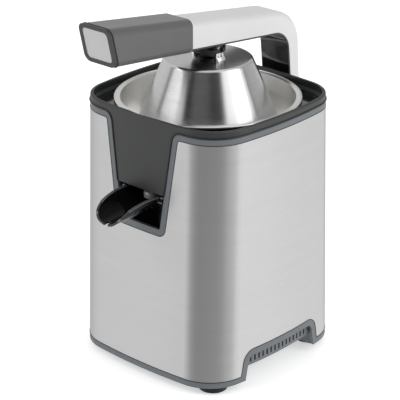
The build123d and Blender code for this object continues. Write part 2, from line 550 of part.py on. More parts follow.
# ---- Motor ----
def make_motor():
    top = BOX_LOW - 0.1
    can = post(0, MOTOR_Y, MOTOR_R, MOTOR_LOW, top)
    can -= post(0, MOTOR_Y, MOTOR_R - MOTOR_T, MOTOR_LOW + MOTOR_T, top - 3)
    can -= post(0, MOTOR_Y, BEARING_R + FIXED_FIT, 0, BIG)
    for x in (-MOTOR_SCREW_X, MOTOR_SCREW_X):
        can -= post(x, MOTOR_Y, SCREW_R + FIXED_FIT, top - 4, BIG)
    for i in range(6):
        slot = block(12, 26, -3, 3, MOTOR_LOW - 1, MOTOR_LOW + MOTOR_T + 1)
        can -= Pos(0, MOTOR_Y, 0) * Rot(0, 0, 60 * i) * slot
    NODES["motor_can"] = can
    NODES["motor_screws"] = group([
        post(x, MOTOR_Y, SCREW_R, top - 2.9, BOX_LOW + BOX_T)
        + post(x, MOTOR_Y, 2 * SCREW_R, BOX_LOW + BOX_T, BOX_LOW + BOX_T + 1.8)
        for x in (-MOTOR_SCREW_X, MOTOR_SCREW_X)])
    stator = tube(0, MOTOR_Y, MOTOR_R - MOTOR_T - FIXED_FIT, ROTOR_R + 0.8, MOTOR_LOW + 20, top - 20)
    NODES["stator"] = stator
    NODES["rotor_core"] = tube(0, MOTOR_Y, ROTOR_R, MOTOR_SHAFT_R + FIXED_FIT, MOTOR_LOW + 22, top - 22)
    NODES["commutator"] = tube(0, MOTOR_Y, 9, MOTOR_SHAFT_R + FIXED_FIT, top - 18, top - 9)
    fan = tube(0, MOTOR_Y, 7, MOTOR_SHAFT_R + FIXED_FIT, MOTOR_LOW + 6, MOTOR_LOW + 16)
    fan += tube(0, MOTOR_Y, 26, 6, MOTOR_LOW + 14.5, MOTOR_LOW + 16)
    for i in range(9):
        blade = block(6, 26, -0.8, 0.8, MOTOR_LOW + 6, MOTOR_LOW + 15)
        fan += Pos(0, MOTOR_Y, 0) * Rot(0, 0, 40 * i) * blade
    NODES["cooling_fan"] = fan
    NODES["motor_bearings"] = group([
        tube(0, MOTOR_Y, BEARING_R, MOTOR_SHAFT_R + RUN_FIT, MOTOR_LOW, MOTOR_LOW + 4),
        tube(0, MOTOR_Y, BEARING_R, MOTOR_SHAFT_R + RUN_FIT, top - 4, top)])
    NODES["motor_shaft"] = post(0, MOTOR_Y, MOTOR_SHAFT_R, MOTOR_LOW - 2, WHEEL_HIGH + 2)


# ---- Reamer and dome ----
def make_cone():
    def body(grow):
        side = Spline((CONE_R + grow, CONE_LOW + 3), (CONE_R * 0.62 + grow, CONE_LOW + 27),
                      (2.5 + grow, CONE_TIP), tangents=[(-0.25, 1), (-1, 0.7)])
        edge = Line((0, CONE_LOW), (CONE_R + grow, CONE_LOW))
        edge += Line((CONE_R + grow, CONE_LOW), (CONE_R + grow, CONE_LOW + 3))
        edge += side
        edge += Line((2.5 + grow, CONE_TIP), (0, CONE_TIP + 1 + grow))
        edge += Line((0, CONE_TIP + 1 + grow), (0, CONE_LOW))
        return turned(make_face(edge))

    cone = body(0)
    ribbed = body(RIB_PROUD)
    for i in range(CONE_RIBS):
        rib = ribbed & block(3, BIG, -RIB_T / 2, RIB_T / 2, CONE_LOW, CONE_TIP - 1)
        cone += Rot(0, 0, 360 * i / CONE_RIBS) * rib
    hollow = Pos(0, 0, CONE_LOW - 0.01 + 16) * Cone(CONE_R - 4, 11, 32)
    cone -= hollow - post(0, 0, 8, 0, BIG)
    half = SQUARE / 2 + 0.05
    cone -= block(-half, half, -half, half, CONE_LOW - 1, CONE_LOW + 34.1)
    NODES["reamer_cone"] = cone


def make_dome():
    def side(grow):
        slope = (DOME_LOW_R - 1 - DOME_TOP_R) / (DOME_TOP - DOME_SKIRT_Z)
        top = DOME_TOP + grow
        corner = DOME_TOP_R - slope * grow + grow * hypot(1, slope)
        skirt = corner + slope * (top - DOME_SKIRT_Z)
        low_r = DOME_LOW_R + grow
        line = FilletPolyline((0, top), (corner, top), (skirt, DOME_SKIRT_Z), (low_r, DOME_LOW),
                              radius=DOME_SHOULDER_R + grow)
        return line

    outer, inner = side(0), side(-DOME_T)
    edge = outer + Line(outer @ 1, inner @ 1) + inner + Line(inner @ 0, outer @ 0)
    dome = turned(make_face(edge))
    NODES["dome"] = dome - post(0, 0, SCREW_R + 0.2, DOME_TOP - 2, BIG)

    hub = post(0, 0, DOME_POST_R, DOME_TOP + 0.1, DOME_CAP_TOP)
    hub += post(0, 0, DOME_CAP_R, DOME_CAP_LOW, DOME_CAP_TOP)
    hub -= post(0, 0, SCREW_R + FIXED_FIT, 0, DOME_TOP + 3.6)
    ears = rod_x(-13, 13, 0, DOME_PIN_Z, 5) + block(-13, 13, -7, 7, DOME_TOP + 4, DOME_PIN_Z - 0.5)
    hub += ears
    lug_room = LUG_R + 1
    hub -= block(-LUG_HALF - CLEAR, LUG_HALF + CLEAR, -lug_room, lug_room, DOME_TOP + 4.5, BIG)
    NODES["dome_hub"] = hub - rod_x(-BIG, BIG, 0, DOME_PIN_Z, DOME_PIN_R + FIXED_FIT)
    screw = post(0, 0, SCREW_R, DOME_TOP - DOME_T, DOME_TOP + 3.5)
    NODES["dome_screw"] = screw + post(0, 0, 2.2 * SCREW_R, DOME_TOP - DOME_T - 2, DOME_TOP - DOME_T)
    NODES["dome_pin"] = rod_x(-13, 13, 0, DOME_PIN_Z, DOME_PIN_R)


# ---- Arm ----
def crossing(slope_z, z0, lean_y, y0):
    """Where z = z0 - slope_z * y meets y = y0 - lean_y * (z - PIVOT_Z)."""
    y = (y0 - lean_y * (z0 - PIVOT_Z)) / (1 - lean_y * slope_z)
    return y, z0 - slope_z * y


def arm_outline(top_in, under_in, front_y, bottom_z):
    """Side view of the bent arm, pulled in from its upper and rear faces and its lower and front ones."""
    top_z = ARM_TOP_Z - top_in * hypot(1, ARM_TOP_SLOPE)
    rear_y = POST_REAR_Y - top_in
    under_z = ARM_UNDER_Z + under_in * hypot(1, ARM_UNDER_SLOPE)
    inner_y = POST_FRONT_Y + under_in
    outer_corner = crossing(ARM_TOP_SLOPE, top_z, POST_REAR_LEAN, rear_y)
    inner_corner = crossing(ARM_UNDER_SLOPE, under_z, POST_FRONT_LEAN, inner_y)
    points = [(front_y, under_z - ARM_UNDER_SLOPE * front_y), (front_y, top_z - ARM_TOP_SLOPE * front_y),
              outer_corner, (rear_y - POST_REAR_LEAN * (bottom_z - PIVOT_Z), bottom_z),
              (inner_y - POST_FRONT_LEAN * (bottom_z - PIVOT_Z), bottom_z), inner_corner]
    outline = make_face(Polyline(*points, close=True))

    def vertex(corner):
        return corners_at(outline, lambda y, z: hypot(y - corner[0], z - corner[1]) < 0.01)

    outline = fillet(vertex(outer_corner), BEND_OUT_R - top_in)
    return fillet(vertex(inner_corner), BEND_IN_R + under_in)


def arm_piece(half, *outline):
    return prism_x(arm_outline(*outline), -half, half)


def side_edges(solid, half):
    """The edges that run along the sides of a bar whose sides are at x = half and x = -half."""
    def on_side(point):
        return abs(abs(point.X) - half) < 0.01

    def moved(a, b):
        return abs(a.Y - b.Y) + abs(a.Z - b.Z) > 0.01

    return [e for e in solid.edges() if on_side(e @ 0.5) and on_side(e @ 0) and moved(e @ 0.5, e @ 0)]


def make_arm():
    front = SLEEVE_REAR_Y + 0.1
    shell_low = PIVOT_Z + KNUCKLE_R + KNUCKLE_GAP
    shell = arm_piece(ARM_HALF, 0, LINER_CAP_T + 0.1, front, shell_low)
    long_edges = [e for e in side_edges(shell, ARM_HALF)
                  if abs((e @ 0.5).Y - front) > 0.01 and abs((e @ 0.5).Z - shell_low) > 0.01]
    upper = [e for e in long_edges if is_upper(e)]
    shell = fillet(upper, ARM_EDGE_R)
    shell -= arm_piece(ARM_HALF - ARM_WALL, ARM_WALL, -BEND_IN_R / 4, front - 1, shell_low - 1)
    NODES["arm_shell"] = shell
    liner_half = ARM_HALF - ARM_WALL - 0.1
    liner = arm_piece(liner_half, ARM_WALL + 0.1, LINER_CAP_T - 0.5, front + 0.1, shell_low)
    liner -= arm_piece(BIG, 0, LINER_RECESS + LINER_T, front - 1, shell_low - 1)
    cap = arm_piece(ARM_HALF - 0.2, ARM_WALL + 0.1, 0, front + 0.1, shell_low)
    liner += cap - arm_piece(BIG, 0, LINER_CAP_T, front - 1, shell_low - 1)
    hub_room = block(-14, 14, -6.5, 6.5, 0, BIG)
    liner -= hub_room - arm_piece(BIG, 0, LINER_RECESS, front - 1, shell_low - 1)
    lug_y = LUG_R + 0.6
    liner -= block(-LUG_HALF - 0.1, LUG_HALF + 0.1, -lug_y, lug_y, 0, BIG)
    NODES["arm_liner"] = liner

    core_in = LINER_RECESS + LINER_T + 0.3
    core = arm_piece(CORE_HALF, ARM_WALL + 1.5, core_in, CORE_FRONT_Y, PIVOT_Z)
    core += rod_x(-ARM_HALF + 0.3, ARM_HALF - 0.3, PIVOT_Y, PIVOT_Z, KNUCKLE_R)
    core += block(-LUG_HALF, LUG_HALF, -LUG_R, LUG_R, DOME_PIN_Z, ARM_UNDER_Z + 10)
    core += rod_x(-LUG_HALF, LUG_HALF, 0, DOME_PIN_Z, LUG_R)
    core -= rod_x(-BIG, BIG, 0, DOME_PIN_Z, DOME_PIN_R + RUN_FIT)
    core -= rod_x(-BIG, BIG, PIVOT_Y, PIVOT_Z, BUSH_R + FIXED_FIT)
    NODES["arm_core"] = core
    bushes = []
    pin_hole = rod_x(-BIG, BIG, PIVOT_Y, PIVOT_Z, PIN_R + RUN_FIT)
    for side in (-1, 1):
        x0, x1 = sorted((side * 4, side * (ARM_HALF - 0.3)))
        bushes.append(rod_x(x0, x1, PIVOT_Y, PIVOT_Z, BUSH_R) - pin_hole)
    NODES["hinge_bushes"] = group(bushes)


def is_upper(edge):
    """True for an edge of the arm's upper or rear face, false for one of its lower or front face."""
    middle = edge @ 0.5
    centre_z = (ARM_TOP_Z + ARM_UNDER_Z) / 2 - (ARM_TOP_SLOPE + ARM_UNDER_SLOPE) / 2 * middle.Y
    centre_y = (POST_REAR_Y + POST_FRONT_Y) / 2 - 0.1 * (middle.Z - PIVOT_Z)
    return middle.Z > centre_z or middle.Y > centre_y


def sleeve_outline(rear_y, front_top_y, inset):
    top_z = ARM_TOP_Z + SLEEVE_PROUD - inset
    under_z = ARM_UNDER_Z - SLEEVE_PROUD + inset
    front_z = top_z - ARM_TOP_SLOPE * front_top_y
    low_z = under_z - ARM_UNDER_SLOPE * front_top_y
    front_low_y = front_top_y + SLEEVE_UNDERCUT * (front_z - low_z)
    points = [(rear_y, under_z - ARM_UNDER_SLOPE * rear_y), (rear_y, top_z - ARM_TOP_SLOPE * rear_y),
              (front_top_y, front_z), (front_low_y, under_z - ARM_UNDER_SLOPE * front_low_y)]
    return make_face(Polyline(*points, close=True))


def handle_bar(rear_y, front_top_y, inset, edge_r):
    """A length of the rounded handle, its front end face undercut."""
    half = ARM_HALF + SLEEVE_SIDE - inset
    bar = prism_x(sleeve_outline(SLEEVE_REAR_Y, SLEEVE_FRONT_TOP_Y - 20, inset), -half, half)
    lengthwise = [e for e in side_edges(bar, half) if abs((e @ 0).Y - (e @ 1).Y) > 20]
    bar = fillet(lengthwise, edge_r)
    return bar & prism_x(sleeve_outline(rear_y, front_top_y, -10), -BIG, BIG)


def make_handle():
    inner_r = SLEEVE_EDGE_R - SLEEVE_T
    sleeve = handle_bar(SLEEVE_REAR_Y, SLEEVE_FRONT_TOP_Y, 0, SLEEVE_EDGE_R)
    sleeve -= handle_bar(SLEEVE_REAR_Y + 1, SLEEVE_FRONT_TOP_Y - 1, SLEEVE_T, inner_r)
    NODES["handle_sleeve"] = sleeve
    end = SLEEVE_FRONT_TOP_Y - END_T
    frame = handle_bar(SLEEVE_REAR_Y, end, 0, SLEEVE_EDGE_R)
    frame -= handle_bar(SLEEVE_REAR_Y, SLEEVE_FRONT_TOP_Y - 0.1, -3, SLEEVE_EDGE_R)
    plug = handle_bar(SLEEVE_REAR_Y, SLEEVE_FRONT_TOP_Y - 0.2, SLEEVE_T + 0.1, inner_r)
    plug -= handle_bar(SLEEVE_REAR_Y, CORE_FRONT_Y - PLUG_GAP, -3, SLEEVE_EDGE_R)
    frame += plug
    pocket = handle_bar(SLEEVE_REAR_Y, end - 1, END_RIM, INSERT_EDGE_R)
    pocket -= handle_bar(SLEEVE_REAR_Y, end + INSERT_T, -3, SLEEVE_EDGE_R)
    NODES["handle_end_frame"] = frame - pocket
    insert = handle_bar(SLEEVE_REAR_Y, end + INSERT_RECESS, END_RIM + 0.1, INSERT_EDGE_R)
    insert -= handle_bar(SLEEVE_REAR_Y, end + INSERT_T - 0.1, -3, SLEEVE_EDGE_R)
    NODES["handle_insert"] = insert


# ---- Rear hinge bracket ----
def make_bracket():
    bracket = block(-BRACKET_HALF, BRACKET_HALF, 70, BRACKET_REAR, BRACKET_LOW, BRACKET_TOP)
    bracket = fillet(bracket.edges().filter_by(Axis.X).group_by(Axis.Y)[-1], 7)
    bracket -= taper(-0.1, BRACKET_LOW - 10, BRACKET_TOP + 10)
    slot = ARM_HALF + 0.5
    bracket -= block(-slot, slot, BRACKET_WEB_Y, REAR_STOP_Y, BRACKET_LOW + BRACKET_FLOOR, BIG)
    bracket -= block(-slot, slot, BRACKET_WEB_Y, BIG, REAR_STOP_TOP, BIG)
    bracket -= rod_x(-BRACKET_HALF + 2, BRACKET_HALF - 2, PIVOT_Y, PIVOT_Z, PIN_R + FIXED_FIT)
    NODES["hinge_pin"] = rod_x(-BRACKET_HALF + 2.1, BRACKET_HALF - 2.1, PIVOT_Y, PIVOT_Z, PIN_R)
    plate_rear = half_y_at(BRACKET_TOP, STEEL_T) - 1.2
    plate = block(-BRACKET_HALF, BRACKET_HALF, plate_rear - PLATE_T, plate_rear, BRACKET_LOW, BRACKET_TOP)
    screws = []
    for x, z in bracket_screw_places():
        hole = Pos(x, plate_rear, z) * Rot(90, 0, 0) * Cylinder(SCREW_R + FIXED_FIT, 24)
        bracket -= hole
        plate -= Pos(x, plate_rear, z) * Rot(90, 0, 0) * Cylinder(SCREW_R + 0.2, 24)
        shank = Pos(x, plate_rear + 3.5, z) * Rot(90, 0, 0) * Cylinder(SCREW_R, 13)
        head_y = plate_rear - PLATE_T - 0.8
        screws.append(shank + Pos(x, head_y, z) * Rot(90, 0, 0) * Cylinder(2 * SCREW_R, 1.6))
    NODES["hinge_bracket"] = bracket
    NODES["bracket_plate"] = plate
    NODES["bracket_screws"] = group(screws)
    front_pad = block(-10, 10, BRACKET_WEB_Y, BRACKET_WEB_Y + 3.0, PIVOT_Z + 3, BRACKET_TOP - 1)
    rear_pad = block(-10, 10, REAR_STOP_Y, BRACKET_REAR - 4, REAR_STOP_TOP, REAR_STOP_TOP + 1.2)
    NODES["arm_stops"] = group([front_pad, rear_pad])


def write_all():
    os.makedirs("parts", exist_ok=True)
    box = Compound([solid for shape in NODES.values() for solid in shape.solids()]).bounding_box()
    shift = Pos(-(box.min.X + box.max.X) / 2, -(box.min.Y + box.max.Y) / 2, -box.min.Z)
    print("origin moved by", shift.position)
    for name, shape in NODES.items():
        export_step(shift * shape, f"parts/{name}.step")


make_casing()
make_base()
make_bowl()
make_spout()
make_gearbox()
make_motor()
make_cone()
make_dome()
make_arm()
make_handle()
make_bracket()
write_all()
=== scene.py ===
# %% [markdown]
# # An electric lever-arm citrus press
#
# A square housing wrapped in brushed steel stands on four rubber feet. A bowl sits in its top, a
# reamer turns in the bowl, and a hinged arm presses a steel dome onto the fruit. The imported CAD model
# has every piece at its real size. This lesson lights it, gives each piece its finish, and adds the
# small things that CAD leaves out: rolled rims, a gasket, clips and beads, with dark cords of painted
# shadow along the seams and a painted highlight on the spout's rim.
#
# The frame is loaded first.

# %% Load the frame
from math import cos, pi, radians, sin

import bmesh
import bpy
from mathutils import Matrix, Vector


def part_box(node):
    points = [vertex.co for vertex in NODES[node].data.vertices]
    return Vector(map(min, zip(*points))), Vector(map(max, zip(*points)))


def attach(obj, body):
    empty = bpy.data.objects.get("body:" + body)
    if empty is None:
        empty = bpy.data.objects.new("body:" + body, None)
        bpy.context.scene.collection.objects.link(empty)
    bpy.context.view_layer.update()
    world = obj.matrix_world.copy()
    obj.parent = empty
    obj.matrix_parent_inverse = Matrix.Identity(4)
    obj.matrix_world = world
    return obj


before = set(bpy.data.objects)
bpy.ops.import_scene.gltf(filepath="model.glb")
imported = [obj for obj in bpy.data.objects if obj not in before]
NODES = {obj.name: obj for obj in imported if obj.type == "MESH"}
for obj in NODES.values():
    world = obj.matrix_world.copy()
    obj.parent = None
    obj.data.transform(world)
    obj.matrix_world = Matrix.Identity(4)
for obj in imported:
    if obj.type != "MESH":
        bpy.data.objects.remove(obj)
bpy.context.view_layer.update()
MM = 0.001
print("pieces in the frame:", len(NODES))

# %% [markdown]
# ## The camera
#
# The camera looks down on the front and the right-hand side. A long lens keeps the verticals almost
# parallel. Its place is worked out from two angles and a distance to the
# point it aims at, because angles are easier to reason about than coordinates.

# %% Place the camera
AZIMUTH, ELEVATION = radians(42.53), radians(22.82)
DISTANCE, LENS = 1.6856, 165.6
AIM_SIDE, AIM_HEIGHT = -0.00721, 0.1425
FAR = 50

bowl_low, bowl_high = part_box("juice_bowl")
AXIS_Y = (bowl_low.y + bowl_high.y) / 2
aim = Vector((AIM_SIDE * cos(AZIMUTH), AIM_SIDE * sin(AZIMUTH) + AXIS_Y, AIM_HEIGHT))
back = Vector((sin(AZIMUTH) * cos(ELEVATION), -cos(AZIMUTH) * cos(ELEVATION), sin(ELEVATION)))
camera = bpy.data.objects.new("camera", bpy.data.cameras.new("camera"))
camera.location = aim + DISTANCE * back
camera.rotation_euler = (-back).to_track_quat("-Z", "Y").to_euler()
camera.data.lens = LENS
camera.data.clip_end = FAR
bpy.context.scene.collection.objects.link(camera)
bpy.context.scene.camera = camera
bpy.context.scene.view_settings.view_transform = "Standard"
print("camera at", [round(value, 3) for value in camera.location])

# %% [markdown]
# ## Node trees as Python sums
#
# A shader is a sum worked out at every point of a surface. Wiring it by hand is long to write and hard
# to read, so a small class wraps a socket: writing `1 - mask * 2` adds the Math nodes that do it. Every
# other kind of node comes from one method, which sets the node up first and then fills its inputs.

# %% A socket that can be used in sums
class Wire:
    """An output socket of a node tree, usable in Python sums."""

    def __init__(self, bench, socket):
        self.bench = bench
        self.socket = socket

    def sum(self, operation, first, second):
        """The result of a Math node, fed with two numbers or sockets."""
        return self.bench.add("Math", {"operation": operation}, {0: first, 1: second})

    def __add__(self, other):
        return self.sum("ADD", self, other)

    def __radd__(self, other):
        return self.sum("ADD", other, self)

    def __sub__(self, other):
        return self.sum("SUBTRACT", self, other)

    def __rsub__(self, other):
        return self.sum("SUBTRACT", other, self)

    def __mul__(self, other):
        return self.sum("MULTIPLY", self, other)

    def __truediv__(self, other):
        return self.sum("DIVIDE", self, other)

    def __pow__(self, other):
        return self.sum("POWER", self, other)


class Bench:
    """A node tree, and the one way that nodes are added to it."""

    def __init__(self, tree):
        self.tree = tree
        self.tree.nodes.clear()

    def add(self, kind, settings=None, inputs=None, out=0):
        """A new node with its settings made and its inputs filled; gives one of its output sockets."""
        node = self.tree.nodes.new("ShaderNode" + kind)
        for name, value in (settings or {}).items():
            if name == "stops":
                set_stops(node.color_ramp, value)
            else:
                setattr(node, name, value)
        for name, value in (inputs or {}).items():
            if isinstance(value, Wire):
                self.tree.links.new(value.socket, node.inputs[name])
            else:
                node.inputs[name].default_value = value
        return Wire(self, node.outputs[out]) if node.outputs else node

    def blend(self, colour_a, colour_b, share):
        """Colour a where share is 0, colour b where it is 1."""
        return self.add("Mix", {"data_type": "RGBA"}, {0: share, 6: colour_a, 7: colour_b}, out=2)

    def apart(self, place):
        """A point's x, y and z."""
        split = self.tree.nodes.new("ShaderNodeSeparateXYZ")
        self.tree.links.new(place.socket, split.inputs[0])
        return [Wire(self, socket) for socket in split.outputs]

    def stretch(self, place, scales):
        """A point's coordinates, each multiplied by its own number."""
        return self.add("VectorMath", {"operation": "MULTIPLY"}, {0: place, 1: scales})

    def noise(self, place, detail=2.0, rough=0.5):
        """Cloudy noise from 0 to 1, one cloud to each unit of place."""
        inputs = {"Vector": place, "Scale": 1.0, "Detail": detail, "Roughness": rough}
        return self.add("TexNoise", {}, inputs)

    def between(self, value, low, high):
        """0 below low, 1 above high, and smooth in between."""
        settings = {"interpolation_type": "SMOOTHSTEP"}
        return self.add("MapRange", settings, {0: value, 1: low, 2: high})


def set_stops(ramp, stops):
    """Puts (place, shade) pairs on a colour ramp, which starts with two stops of its own."""
    while len(ramp.elements) < len(stops):
        ramp.elements.new(0.5)
    for element, (place, shade) in zip(ramp.elements, stops):
        element.position = place
        element.color = (shade, shade, shade, 1)


print("the bench is ready")

# %% [markdown]
# ## Light
#
# Polished and brushed metal shows its surroundings, so the studio matters more than the lamps. Two
# rings of soft boxes stand round the object, one above the other. The upright walls, seen from above,
# reflect the lower ring; the dome and the bowl reflect the upper one. Both are dark behind the camera,
# which draws the grey band down the rounded corner and the stripes on the dome. Each ring is a colour
# ramp over the compass direction. Whoever looks straight at the sky sees plain white.

# %% Two rings of soft boxes
LOW_RING = [(0.0, 0.95), (0.06, 0.50), (0.25, 0.65), (0.30, 0.82), (0.425, 0.90), (0.447, 0.34),
            (0.50, 0.36), (0.62, 0.42), (0.77, 0.47), (0.795, 0.54), (0.82, 1.00), (0.90, 0.98),
            (1.0, 0.95)]
HIGH_RING = [(0.0, 0.50), (0.155, 0.60), (0.20, 0.75), (0.32, 0.70), (0.342, 0.08), (0.36, 0.88),
             (0.475, 0.78), (0.49, 0.02), (0.512, 0.02), (0.535, 0.10), (0.61, 0.07), (0.64, 0.01),
             (0.70, 0.01), (0.722, 1.35), (0.86, 1.30), (0.875, 0.30), (0.92, 0.50), (1.0, 0.50)]
BETWEEN_RINGS, BELOW_CEILING = (-0.16, -0.02), (0.55, 0.95)
CEILING, PLAIN_WHITE = (0.85, 0.85, 0.85, 1), (1, 1, 1, 1)

world = bpy.data.worlds.new("studio")
bpy.context.scene.world = world
world.use_nodes = True
sky = Bench(world.node_tree)
east, north, up = sky.apart(sky.add("TexCoord", out="Generated"))
turn = sky.add("Math", {"operation": "ARCTAN2"}, {0: east, 1: 0 - north}) / (2 * pi) + 0.5
low_ring = sky.add("ValToRGB", {"stops": LOW_RING}, {0: turn})
high_ring = sky.add("ValToRGB", {"stops": HIGH_RING}, {0: turn})
ring = sky.blend(low_ring, high_ring, sky.between(up, *BETWEEN_RINGS))
glow = sky.blend(ring, CEILING, sky.between(up, *BELOW_CEILING))
lit = sky.add("Background", {}, {"Color": glow, "Strength": 1.0})
plain = sky.add("Background", {}, {"Color": PLAIN_WHITE, "Strength": 1.0})
seen = sky.add("LightPath", out="Is Camera Ray")
shown = sky.add("MixShader", {}, {0: seen, 1: lit, 2: plain})
sky.add("OutputWorld", {}, {"Surface": shown})
print("stops in the rings:", len(LOW_RING), "and", len(HIGH_RING))


# %% [markdown]
# Two real lamps add the soft shadows and the highlights that a sky alone leaves flat. Both are large
# and far away, so that no edge of theirs shows.

# %% Lamps and floor
def soft_box(name, place, width, power):
    """A square lamp at place, aimed at the middle of the object."""
    lamp = bpy.data.objects.new(name, bpy.data.lights.new(name, "AREA"))
    lamp.data.energy = power
    lamp.data.size = width
    lamp.location = place
    lamp.rotation_euler = (aim - Vector(place)).to_track_quat("-Z", "Y").to_euler()
    bpy.context.scene.collection.objects.link(lamp)


soft_box("key_lamp", place=(-1.2, -1.6, 1.8), width=1.2, power=8)
soft_box("side_lamp", place=(2.0, 0.9, 1.5), width=1.2, power=10)

FLOOR_HALF = 6.0
floor_mesh = bpy.data.meshes.new("floor")
corners = [(x * FLOOR_HALF, y * FLOOR_HALF, 0) for x, y in ((-1, -1), (1, -1), (1, 1), (-1, 1))]
floor_mesh.from_pydata(corners, [], [(0, 1, 2, 3)])
floor = bpy.data.objects.new("floor", floor_mesh)
bpy.context.scene.collection.objects.link(floor)
floor.visible_glossy = False
print("floor is", 2 * FLOOR_HALF, "m square")


# %% [markdown]
# ## Finishes
#
# A finish is a material with three things in it: a colour that varies a little, a gloss that varies a
# little, and a fine relief. All three are driven from the same grain, because on a real surface they
# have the same cause. Object coordinates are used, which here are metres in the frame, so a grain's
# size is a real size and it stays on the piece when the piece moves.

# %% The common recipe
FINISHES = {}
# Cloudy noise seldom leaves this part of its range, so the shade changes within it.
MIDDLE = (0.3, 0.7)


def new_finish(name):
    """The bench of a fresh material, and the coordinates on its surface in metres."""
    material = bpy.data.materials.new(name + "_finish")
    FINISHES[name] = material
    material.use_nodes = True
    bench = Bench(material.node_tree)
    return bench, bench.add("TexCoord", out="Object")


def shades(colour, spread):
    """A darker and a lighter version of a colour."""
    return [tuple(channel * factor for channel in colour) + (1,) for factor in (1 - spread, 1 + spread)]


def complete(bench, colour, gloss, relief, depth, **constants):
    """Joins colour, roughness and relief to the shader, and sets its constants on its own sockets."""
    bump = bench.add("Bump", {}, {"Height": relief, "Distance": depth, "Strength": 1.0})
    inputs = {"Base Color": colour, "Roughness": gloss, "Normal": bump}
    inputs.update({name.replace("_", " "): value for name, value in constants.items()})
    surface = bench.add("BsdfPrincipled", {}, inputs)
    bench.add("OutputMaterial", {}, {"Surface": surface})


print("the recipe is ready")

# %% [markdown]
# Sheet steel is brushed with a belt, which leaves lines a fifth of a millimetre apart and a few
# centimetres long. On the housing the lines run level round the body. A noise that is squeezed in
# height and stretched along the walls makes them. The dome and the bowl are spun on a lathe, so there
# the lines are circles: the same noise is squeezed along the radius and the height instead, and drawn
# out round the axis. The lines also stretch every reflection across themselves, which is what the
# shader's anisotropy does.

# %% Brushed and turned steel
LINE_PITCH, LINE_LENGTH = 0.22 * MM, 30 * MM
# Clouds of noise to one radian of a turned line.
TURN_CLOUDS = 1.5
# Broad bands lie over the lines: their clouds to one line when turned, and to one metre when level.
TURNED_BANDS, LEVEL_BANDS = (0.06, 0.8, 0.06), (8.0, 8.0, 160.0)
# How much of the shade the lines make, how far the gloss swings with it, and a quarter turn.
LINE_SHARE, STEEL_SWING, ACROSS = 0.7, 0.12, 0.25


def brushed_steel(name, colour, gloss, spread, depth, around=None, stretched=0.6, pitch=LINE_PITCH):
    """Metal with fine level lines, or with circles round the upright axis at around."""
    bench, place = new_finish(name)
    if around is not None:
        x, y, z = bench.apart(place)
        x, y = x - around[0], y - around[1]
        radius = (x * x + y * y) ** 0.5
        angle = bench.add("Math", {"operation": "ARCTAN2"}, {0: y, 1: x})
        rolled = {0: radius / pitch, 1: angle * TURN_CLOUDS, 2: z / pitch}
        place = bench.add("CombineXYZ", {}, rolled)
        lines = bench.noise(place, detail=3.0)
        bands = bench.noise(bench.stretch(place, TURNED_BANDS), detail=2.0)
    else:
        squeezed = (1 / LINE_LENGTH, 1 / LINE_LENGTH, 1 / pitch)
        lines = bench.noise(bench.stretch(place, squeezed), detail=3.0)
        bands = bench.noise(bench.stretch(place, LEVEL_BANDS), detail=2.0)
    grain = lines * LINE_SHARE + bands * (1 - LINE_SHARE)
    dark, light = shades(colour, spread)
    tint = bench.blend(dark, light, bench.between(grain, *MIDDLE))
    rough = gloss - STEEL_SWING / 2 + grain * STEEL_SWING
    complete(bench, tint, rough, lines, depth, Metallic=1.0, Anisotropic=stretched,
             Anisotropic_Rotation=ACROSS)


AXIS = (0.0, AXIS_Y)
# Each line gives a colour, the gloss, how far the shade swings, and the relief's depth in metres.
brushed_steel("brushed_steel", (0.66, 0.66, 0.665), 0.36, 0.035, 0.000006)
brushed_steel("satin_steel", (0.90, 0.89, 0.87), 0.34, 0.03, 0.000004, around=AXIS, stretched=0.5)
brushed_steel("dome_steel", (0.68, 0.68, 0.68), 0.24, 0.05, 0.000006, around=AXIS, stretched=0.75)
brushed_steel("plain_steel", (0.50, 0.50, 0.51), 0.32, 0.05, 0.000004, stretched=0.2)
brushed_steel("bush_bronze", (0.42, 0.27, 0.13), 0.38, 0.06, 0.000006, stretched=0.0)
brushed_steel("motor_iron", (0.13, 0.13, 0.135), 0.5, 0.10, 0.00002, stretched=0.0, pitch=0.0006)
brushed_steel("copper_bars", (0.60, 0.28, 0.15), 0.35, 0.06, 0.000006, stretched=0.0)
print("metals:", sorted(FINISHES))

# %% [markdown]
# Moulded plastic copies the skin of its mould. A sparked mould gives a fine leather-like grain, and a
# polished one gives a mirror with long soft waves in it, where the wall shrank as it cooled. So a
# plastic here is one cloudy noise for the grain and one for the waves, in the amounts its mould asks
# for. Paint and rubber are made the same way.

# %% Plastic, paint and rubber
# Waves to one metre, and how far the gloss swings with them.
WAVES, MOULD_SWING = 35.0, 0.1


def moulded(name, colour, gloss, spread, grain_size, grain_depth, wave_depth=0.0, **constants):
    """Plastic with a grain of a given size and depth, over long soft waves."""
    bench, place = new_finish(name)
    grain = bench.noise(bench.stretch(place, (1 / grain_size,) * 3), detail=2.0)
    waves = bench.noise(bench.stretch(place, (WAVES,) * 3), detail=1.0)
    dark, light = shades(colour, spread)
    tint = bench.blend(dark, light, bench.between(waves * 0.5 + grain * 0.5, *MIDDLE))
    rough = gloss - MOULD_SWING / 2 + waves * MOULD_SWING
    relief = grain * grain_depth + waves * wave_depth
    complete(bench, tint, rough, relief, 1.0, **constants)


